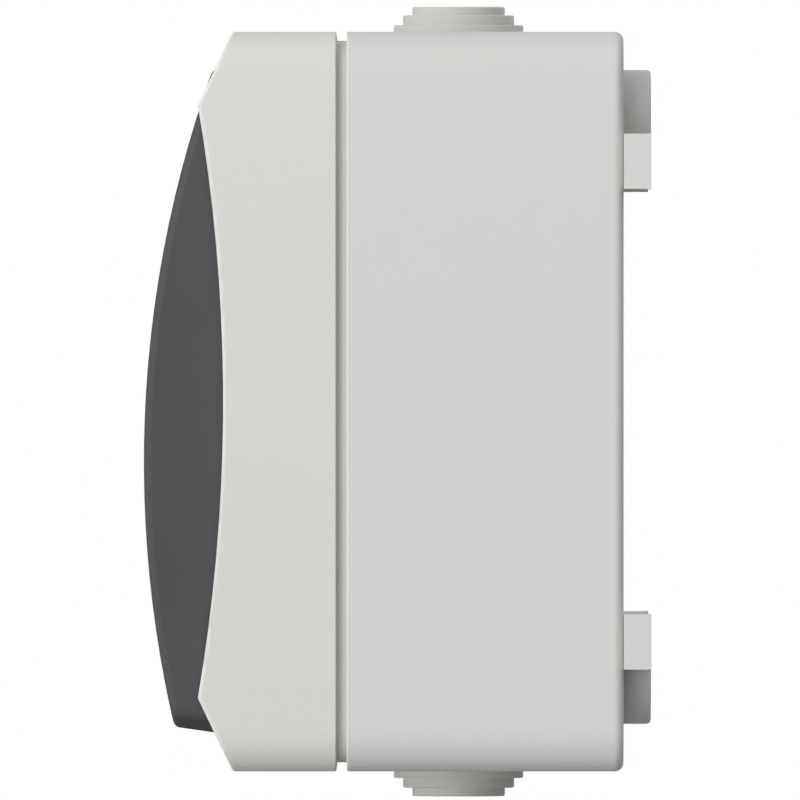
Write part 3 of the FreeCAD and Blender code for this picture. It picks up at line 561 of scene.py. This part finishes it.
@dataclass
class Fasteners(SubAssembly):
    """The seven screws: CAD heads with real threads wound on their shanks.

    Lengths are in millimetres. The head is cut a skim before its seat, and the shank starts
    within the head, so that the two overlap. The CAD's loose corners are merged where they lie
    within the weld. The tip share is how far the shank narrows at its tip, and edges steeper
    than the crease, in degrees, stay sharp.
    """

    plating: Finish = ZINC
    overlap: float = 0.3
    skim: float = 0.02
    weld: float = 0.001
    rings_a_turn: float = 10.0
    around: int = 36
    tip_share: float = 0.7
    crease: float = 30.0
    sizes: dict[str, ScrewSize] = field(
        default_factory=lambda: {
            "cover_screw_top": COVER_SCREW,
            "cover_screw_bottom": COVER_SCREW,
            "mechanism_screw_upper": MECHANISM_SCREW,
            "mechanism_screw_lower": MECHANISM_SCREW,
            "terminal_screw_common": TERMINAL_SCREW,
            "terminal_screw_upper": TERMINAL_SCREW,
            "terminal_screw_lower": TERMINAL_SCREW,
        }
    )

    def finishes(self) -> dict[str, Finish]:
        """Names no piece, because every screw gets a new mesh."""
        return {}

    def thread_tree(self) -> bpy.types.GeometryNodeTree:
        """Builds the tree that winds a ridge round a shank.

        Returns:
            A geometry tree with named inputs, in metres, for a shank from Start along +Y.
        """
        tree = bpy.data.node_groups.new("threaded_shank", "GeometryNodeTree")
        face = tree.interface
        face.new_socket("Geometry", in_out="OUTPUT", socket_type="NodeSocketGeometry")
        for name in ("Thread Radius", "Core Radius", "Pitch", "Length", "Tip Length", "Root Share"):
            face.new_socket(name, in_out="INPUT", socket_type="NodeSocketFloat")
        face.new_socket("Start", in_out="INPUT", socket_type="NodeSocketVector")
        face.new_socket("Material", in_out="INPUT", socket_type="NodeSocketMaterial")
        given = node(tree, "NodeGroupInput").outputs
        length, pitch = given["Length"], given["Pitch"]

        turns = node(tree, "ShaderNodeMath", {0: length, 1: pitch}, operation="DIVIDE")
        rings = node(tree, "ShaderNodeMath", {0: turns, 1: self.rings_a_turn}, operation="MULTIPLY")
        sizes = {"Vertices": self.around, "Side Segments": rings, "Radius": given["Thread Radius"]}
        bar = node(tree, "GeometryNodeMeshCylinder", {**sizes, "Depth": length})
        # The bar is made upright about its middle, so it is lifted to stand on its start.
        half = node(tree, "ShaderNodeMath", {0: length, 1: 0.5}, operation="MULTIPLY")
        lift = node(tree, "ShaderNodeCombineXYZ", {2: half})
        raised = node(tree, "GeometryNodeTransform", {"Geometry": bar, "Translation": lift})

        share = self.radius_share(tree, given)
        grow = node(tree, "ShaderNodeCombineXYZ", {0: share, 1: share, 2: 1.0})
        here = node(tree, "GeometryNodeInputPosition")
        moved = node(tree, "ShaderNodeVectorMath", {0: here, 1: grow}, operation="MULTIPLY")
        wound = node(tree, "GeometryNodeSetPosition", {"Geometry": raised, "Position": moved})

        turned = {"Translation": given["Start"], "Rotation": (-math.pi / 2, 0.0, 0.0)}
        laid = node(tree, "GeometryNodeTransform", {"Geometry": wound, **turned})
        real = node(tree, "GeometryNodeRealizeInstances", {"Geometry": laid})
        inputs = {"Geometry": real, "Material": given["Material"]}
        dressed = node(tree, "GeometryNodeSetMaterial", inputs)
        node(tree, "NodeGroupOutput", {"Geometry": dressed})
        return tree

    def radius_share(self, tree: Tree, given: bpy.types.bpy_prop_collection) -> Node:
        """Works out how far each point of the plain bar comes in to leave the ridge.

        Args:
            tree: the thread tree.
            given: the tree's named inputs. Here +Z runs along the bar from its start.

        Returns:
            The node of the new radius, as a share of the thread's radius.
        """
        here = node(tree, "GeometryNodeInputPosition")
        x, y, along = node(tree, "ShaderNodeSeparateXYZ", {0: here}).outputs
        angle = node(tree, "ShaderNodeMath", {0: y, 1: x}, operation="ARCTAN2")
        turn = node(tree, "ShaderNodeMath", {0: angle, 1: 2 * math.pi}, operation="DIVIDE")
        climb = node(tree, "ShaderNodeMath", {0: along, 1: given["Pitch"]}, operation="DIVIDE")
        phase = node(tree, "ShaderNodeMath", {0: climb, 1: turn}, operation="SUBTRACT")
        # The wave rises from 0 to half a turn and falls again.
        wave = node(tree, "ShaderNodeMath", {0: phase, 1: HALF_TURN}, operation="PINGPONG")
        flat = {0: given["Root Share"], 1: HALF_TURN}
        root = node(tree, "ShaderNodeMath", flat, operation="MULTIPLY")
        # The crest grows to its full height over the first turn.
        fade = {"Value": along, "From Max": given["Pitch"]}
        radii = {"To Min": given["Core Radius"], "To Max": given["Thread Radius"]}
        crest = node(tree, "ShaderNodeMapRange", {**fade, **radii})
        flank = {"Value": wave, "From Min": root, "From Max": HALF_TURN}
        radii = {"To Min": given["Core Radius"], "To Max": crest}
        ridge = node(tree, "ShaderNodeMapRange", {**flank, **radii})
        left = node(tree, "ShaderNodeMath", {0: given["Length"], 1: along}, operation="SUBTRACT")
        end = {"Value": left, "From Max": given["Tip Length"], "To Min": self.tip_share}
        tip = node(tree, "ShaderNodeMapRange", end)
        radius = node(tree, "ShaderNodeMath", {0: ridge, 1: tip}, operation="MULTIPLY")
        inputs = {0: radius, 1: given["Thread Radius"]}
        return node(tree, "ShaderNodeMath", inputs, operation="DIVIDE")

    def shank(
        self,
        tree: bpy.types.GeometryNodeTree,
        name: str,
        size: ScrewSize,
        material: bpy.types.Material,
    ) -> bpy.types.Mesh:
        """Runs the tree for one screw.

        Args:
            tree: the thread tree.
            name: the screw's CAD piece.
            size: its sizes.
            material: its finish.

        Returns:
            The plain mesh of the threaded shank, in the row frame.
        """
        low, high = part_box(name)
        start = low.y + (size.head_height - self.overlap) * MM
        middle = (low + high) / 2
        values = {
            "Thread Radius": size.thread_radius * MM,
            "Core Radius": size.core_radius * MM,
            "Pitch": size.pitch * MM,
            "Length": high.y - start,
            "Tip Length": size.tip_length * MM,
            "Root Share": size.form.value,
            "Start": (middle.x, start, middle.z),
            "Material": material,
        }
        carrier = bpy.data.objects.new("shank_carrier", bpy.data.meshes.new("shank_carrier"))
        bpy.context.scene.collection.objects.link(carrier)
        modifier = carrier.modifiers.new("thread", "NODES")
        modifier.node_group = tree
        for item in tree.interface.items_tree:
            if item.in_out == "INPUT":
                modifier[item.identifier] = values[item.name]
        seen = carrier.evaluated_get(bpy.context.evaluated_depsgraph_get())
        mesh = bpy.data.meshes.new_from_object(seen)
        carrier.modifiers.remove(modifier)
        bpy.data.objects.remove(carrier)
        return mesh

    def head(self, name: str, size: ScrewSize) -> bmesh.types.BMesh:
        """Cuts the head with its cross recess off a copy of the CAD screw.

        Args:
            name: the screw's CAD piece.
            size: its sizes.

        Returns:
            The closed head, in the row frame.
        """
        low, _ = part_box(name)
        body = bmesh.new()
        body.from_mesh(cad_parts[name].data)
        bmesh.ops.remove_doubles(body, verts=body.verts, dist=self.weld * MM)
        seat = (0.0, low.y + (size.head_height - self.skim) * MM, 0.0)
        everything = [*body.verts, *body.edges, *body.faces]
        bmesh.ops.bisect_plane(
            body, geom=everything, plane_co=seat, plane_no=(0, 1, 0), clear_outer=True
        )
        rim = [edge for edge in body.edges if edge.is_boundary]
        bmesh.ops.holes_fill(body, edges=rim)
        return body

    def screw(
        self, tree: bpy.types.GeometryNodeTree, name: str, size: ScrewSize
    ) -> bpy.types.Object:
        """Joins a head and a threaded shank into one screw.

        Args:
            tree: the thread tree.
            name: the screw's CAD piece.
            size: its sizes.

        Returns:
            The screw, dressed in its plating.
        """
        material = self.wardrobe.of(self.plating)
        body = self.head(name, size)
        body.from_mesh(self.shank(tree, name, size, material))
        mesh = bpy.data.meshes.new(name + "_threaded")
        body.to_mesh(mesh)
        body.free()
        mesh.materials.append(material)
        for polygon in mesh.polygons:
            polygon.material_index = 0
        mesh.shade_smooth()
        mesh.set_sharp_from_angle(angle=math.radians(self.crease))
        made = bpy.data.objects.new(mesh.name, mesh)
        bpy.context.scene.collection.objects.link(made)
        return made

    def build(self) -> None:
        """Makes all seven screws and sets them in place of the plain ones."""
        tree = self.thread_tree()
        for name, size in self.sizes.items():
            made = self.screw(tree, name, size)
            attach(made, "root")
            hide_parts(name)
            log.info("%s: %d faces, %s", made.name, len(made.data.polygons), self.plating.name)


@dataclass(frozen=True)
class Lamp:
    """A distant lamp: its direction from the switch, strength and spread.

    The share is how bright a white surface that faces it gets, and the spread is in degrees.
    """

    name: str
    towards: tuple[float, float, float]
    share: float
    spread: float


@dataclass
class Studio:
    """Camera, light and floor. Light is given as shares of full white.

    Lengths are in metres, and those of the lens and its sensor in millimetres. The photograph
    is a parallel view. The camera stands far off with a long lens, and near_side is the plane,
    between the box's side and its glands, that the lens shows at true scale. The camera sees
    from a clip_ratio-th of that distance to clip_ratio times it. The floor lies well below,
    because a near one would keep the low light of the photograph off.
    """

    lens: float = 1600.0
    sensor: float = 36.0
    frame_side: float = 0.090909
    near_side: float = 0.026
    centre_y: float = -0.02853
    centre_z: float = 0.00018
    clip_ratio: float = 10.0
    floor_z: float = -0.30
    floor_size: float = 1.2
    floor_grey: float = 0.30
    floor_glow: float = 0.78
    lamps: tuple[Lamp, ...] = (
        Lamp("key", (0.70, -0.67, -0.24), 1.01, 82.0),
        Lamp("accent", (0.77, -0.60, 0.20), 0.16, 10.0),
        Lamp("top", (0.0, 0.20, 0.98), 0.42, 120.0),
        Lamp("fill", (-0.86, 0.48, 0.12), 0.30, 60.0),
    )
    sky: float = 0.15

    def camera(self) -> None:
        """Sets a long lens square to the switch's side, as in the photograph."""
        data = bpy.data.cameras.new("camera")
        data.lens = self.lens
        data.sensor_width = self.sensor
        distance = self.frame_side * self.lens / self.sensor
        data.clip_start = distance / self.clip_ratio
        data.clip_end = distance * self.clip_ratio
        camera = bpy.data.objects.new("camera", data)
        camera.location = (self.near_side + distance, self.centre_y, self.centre_z)
        camera.rotation_euler = (math.pi / 2, 0.0, math.pi / 2)
        bpy.context.scene.collection.objects.link(camera)
        bpy.context.scene.camera = camera

    def hang(self, lamp: Lamp) -> None:
        """Adds one of the lamps as a distant light with soft edges.

        Args:
            lamp: its direction, strength and spread.
        """
        data = bpy.data.lights.new(lamp.name, "SUN")
        data.energy = lamp.share * SUN_WHITE
        data.angle = math.radians(lamp.spread)
        light = bpy.data.objects.new(lamp.name, data)
        light.rotation_euler = Vector(lamp.towards).to_track_quat("Z", "Y").to_euler()
        bpy.context.scene.collection.objects.link(light)

    def seen(self, tree: Tree) -> Node:
        """Tells what the camera, gloss or clear material sees from plain light.

        Args:
            tree: the shader tree.

        Returns:
            The node that gives 1 for what is seen and 0 for plain light.
        """
        path = node(tree, "ShaderNodeLightPath").outputs
        looks = {0: path["Is Camera Ray"], 1: path["Is Glossy Ray"]}
        either = node(tree, "ShaderNodeMath", looks, operation="MAXIMUM")
        every = {0: either, 1: path["Is Transmission Ray"]}
        return node(tree, "ShaderNodeMath", every, operation="MAXIMUM")

    def world(self) -> None:
        """Sets an even, dim sky that looks white to the camera."""
        world = bpy.data.worlds.new("studio")
        bpy.context.scene.world = world
        world.use_nodes = True
        tree = world.node_tree
        tree.nodes.clear()
        white = (1.0, 1.0, 1.0, 1.0)
        light = node(tree, "ShaderNodeBackground", {"Color": white, "Strength": self.sky})
        shown = node(tree, "ShaderNodeBackground", {"Color": white})
        mix = node(tree, "ShaderNodeMixShader", {0: self.seen(tree), 1: light, 2: shown})
        node(tree, "ShaderNodeOutputWorld", {"Surface": mix})

    def floor(self) -> None:
        """Lays a pale floor under the switch that is white where no shadow falls."""
        half = self.floor_size / 2
        front = self.centre_y - half
        rear = self.centre_y + half
        z = self.floor_z
        corners = [(-half, front, z), (half, front, z), (half, rear, z), (-half, rear, z)]
        mesh = bpy.data.meshes.new("floor")
        mesh.from_pydata(corners, [], [(0, 1, 2, 3)])
        material = bpy.data.materials.new("pale_floor")
        material.use_nodes = True
        tree = material.node_tree
        tree.nodes.clear()
        grey = (self.floor_grey, self.floor_grey, self.floor_grey, 1.0)
        plain = node(tree, "ShaderNodeBsdfDiffuse", {"Color": grey})
        shown = {0: self.seen(tree), 1: self.floor_glow}
        lift = node(tree, "ShaderNodeMath", shown, operation="MULTIPLY")
        glow = node(tree, "ShaderNodeEmission", {"Strength": lift})
        top = node(tree, "ShaderNodeAddShader", {0: plain, 1: glow})
        # From below the floor isn't there, so that the switch's underside can be looked at.
        below = node(tree, "ShaderNodeNewGeometry").outputs["Backfacing"]
        clear = node(tree, "ShaderNodeBsdfTransparent")
        both = node(tree, "ShaderNodeMixShader", {0: below, 1: top, 2: clear})
        node(tree, "ShaderNodeOutputMaterial", {"Surface": both})
        mesh.materials.append(material)
        floor = bpy.data.objects.new("floor", mesh)
        bpy.context.scene.collection.objects.link(floor)

    def build(self) -> None:
        """Sets up the whole studio."""
        bpy.context.scene.view_settings.view_transform = "Standard"
        self.camera()
        for lamp in self.lamps:
            self.hang(lamp)
        self.world()
        self.floor()


def main() -> None:
    """Builds and dresses the switch, sub-assembly by sub-assembly, and lights it."""
    logging.basicConfig(level=logging.INFO, format="%(message)s")
    wardrobe = Wardrobe()
    for group in (Enclosure, RockerGroup, Mechanism, CableEntries, Fasteners):
        group(wardrobe).build()
    Studio().build()


if __name__ == "__main__":
    main()
